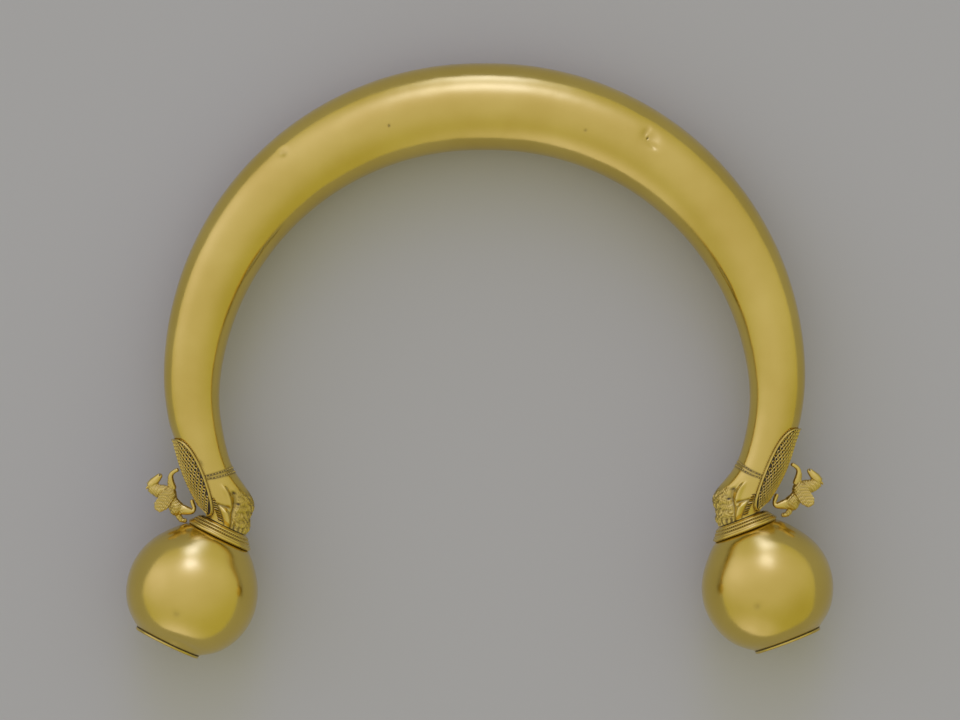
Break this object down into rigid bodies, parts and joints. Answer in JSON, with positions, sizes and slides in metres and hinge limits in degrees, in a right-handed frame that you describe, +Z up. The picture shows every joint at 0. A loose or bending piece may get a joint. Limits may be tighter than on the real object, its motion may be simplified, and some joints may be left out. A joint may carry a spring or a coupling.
{
  "type": "gold torc",
  "caption": "Ancient gold neck ring: a smooth hoop, thick at the back, whose lion-paw ends stand on ridged collars and plain balls, with filigree panels and small winged horses.",
  "frame": {"origin": "on the ground, under the middle of the ring's box as it lies", "axes": "+X to the right with the gap nearest the viewer, +Y to the back of the ring, +Z up"},
  "size_m": [0.2724, 0.229, 0.0507],
  "materials": {
    "gold": "satin gold, a little greenish, polished by wear",
    "filigree_gold": "gold wirework, bright on the wires and dark between them"
  },
  "bodies": {
    "root": {"hoop": "gold", "collar_left": "gold", "collar_right": "gold", "ball_left": "gold", "ball_right": "gold", "end_cap_left": "gold", "end_cap_right": "gold", "filigree_panel_left": "filigree_gold", "filigree_panel_right": "filigree_gold", "winged_horse_left": "gold", "winged_horse_right": "gold"}
  },
  "joints": []
}
